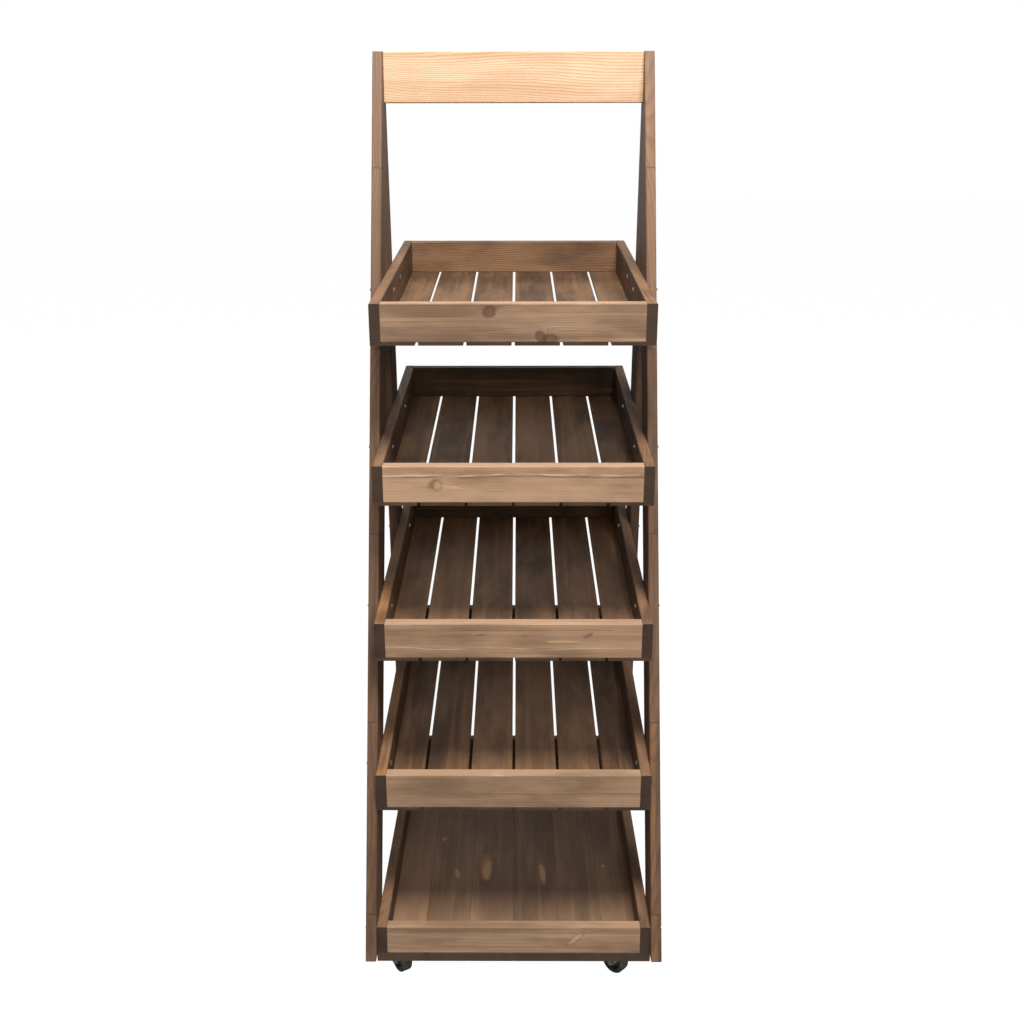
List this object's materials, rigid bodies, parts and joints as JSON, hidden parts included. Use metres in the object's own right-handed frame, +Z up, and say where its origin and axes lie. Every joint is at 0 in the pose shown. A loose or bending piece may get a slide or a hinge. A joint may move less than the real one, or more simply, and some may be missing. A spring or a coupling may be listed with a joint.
{
  "type": "flower cart stand",
  "caption": "Tall timber A-frame plant stand: tipped slatted trays over a level base tray, header board between the legs, swivel castors.",
  "frame": {"origin": "on the floor, under the middle of the stand's overall box", "axes": "+Z up, front of the stand faces -Y, +X to the right seen from the front"},
  "size_m": [0.5744, 0.9138, 1.76],
  "materials": {
    "stained_pine": "brown-stained planed pine",
    "stained_slats": "dark brown-stained thin pine boards",
    "pale_pine": "unstained planed pine",
    "beech": "plain fluted dowel",
    "bright_steel": "bright plated steel",
    "zinc": "zinc plated steel",
    "wheel_core": "moulded dark polypropylene",
    "tyre": "dark grey rubber"
  },
  "bodies": {
    "root": {"left_front_leg": "stained_pine", "left_rear_leg": "stained_pine", "right_front_leg": "stained_pine", "right_rear_leg": "stained_pine", "header_board": "pale_pine", "apex_dowels": "beech", "header_screws": "zinc", "tray1_left_side": "stained_pine", "tray1_right_side": "stained_pine", "tray1_front_board": "stained_pine", "tray1_back_board": "stained_pine", "tray1_slats": "stained_slats", "tray2_left_side": "stained_pine", "tray2_right_side": "stained_pine", "tray2_front_board": "stained_pine", "tray2_back_board": "stained_pine", "tray2_slats": "stained_slats", "tray3_left_side": "stained_pine", "tray3_right_side": "stained_pine", "tray3_front_board": "stained_pine", "tray3_back_board": "stained_pine", "tray3_slats": "stained_slats", "tray4_left_side": "stained_pine", "tray4_right_side": "stained_pine", "tray4_front_board": "stained_pine", "tray4_back_board": "stained_pine", "tray4_slats": "stained_slats", "tray5_left_side": "stained_pine", "tray5_right_side": "stained_pine", "tray5_front_board": "stained_pine", "tray5_back_board": "stained_pine", "tray5_floor_boards": "stained_slats", "tray_bolts": "bright_steel", "tray_washers": "zinc", "tray_nuts": "zinc", "castor_kingpins": "zinc", "castor_screws": "zinc", "castor_front_left_plate": "zinc", "castor_front_right_plate": "zinc", "castor_rear_left_plate": "zinc", "castor_rear_right_plate": "zinc"},
    "castor_front_left_swivel": {"castor_front_left_fork": "zinc", "castor_front_left_axle": "zinc"},
    "castor_front_left_roller": {"castor_front_left_wheel": "wheel_core", "castor_front_left_tyre": "tyre"},
    "castor_front_right_swivel": {"castor_front_right_fork": "zinc", "castor_front_right_axle": "zinc"},
    "castor_front_right_roller": {"castor_front_right_wheel": "wheel_core", "castor_front_right_tyre": "tyre"},
    "castor_rear_left_swivel": {"castor_rear_left_fork": "zinc", "castor_rear_left_axle": "zinc"},
    "castor_rear_left_roller": {"castor_rear_left_wheel": "wheel_core", "castor_rear_left_tyre": "tyre"},
    "castor_rear_right_swivel": {"castor_rear_right_fork": "zinc", "castor_rear_right_axle": "zinc"},
    "castor_rear_right_roller": {"castor_rear_right_wheel": "wheel_core", "castor_rear_right_tyre": "tyre"}
  },
  "joints": [
    {"name": "castor_front_left_turn", "type": "hinge", "parent": "root", "child": "castor_front_left_swivel", "pos_m": [-0.212, -0.38203, 0.068], "axis": [0, 0, 1], "continuous": true},
    {"name": "castor_front_left_roll", "type": "hinge", "parent": "castor_front_left_swivel", "child": "castor_front_left_roller", "pos_m": [-0.22071, -0.36861, 0.025], "axis": [0.8387, 0.5446, 0], "continuous": true},
    {"name": "castor_front_right_turn", "type": "hinge", "parent": "root", "child": "castor_front_right_swivel", "pos_m": [0.212, -0.38203, 0.068], "axis": [0, 0, 1], "continuous": true},
    {"name": "castor_front_right_roll", "type": "hinge", "parent": "castor_front_right_swivel", "child": "castor_front_right_roller", "pos_m": [0.20011, -0.37133, 0.025], "axis": [0.6691, 0.7431, 0], "continuous": true},
    {"name": "castor_rear_left_turn", "type": "hinge", "parent": "root", "child": "castor_rear_left_swivel", "pos_m": [-0.212, 0.28127, 0.068], "axis": [0, 0, 1], "continuous": true},
    {"name": "castor_rear_left_roll", "type": "hinge", "parent": "castor_rear_left_swivel", "child": "castor_rear_left_roller", "pos_m": [-0.20524, 0.29577, 0.025], "axis": [0.9063, -0.4226, 0], "continuous": true},
    {"name": "castor_rear_right_turn", "type": "hinge", "parent": "root", "child": "castor_rear_right_swivel", "pos_m": [0.212, 0.28127, 0.068], "axis": [0, 0, 1], "continuous": true},
    {"name": "castor_rear_right_roll", "type": "hinge", "parent": "castor_rear_right_swivel", "child": "castor_rear_right_roller", "pos_m": [0.20786, 0.29672, 0.025], "axis": [0.9659, 0.2588, 0], "continuous": true}
  ]
}
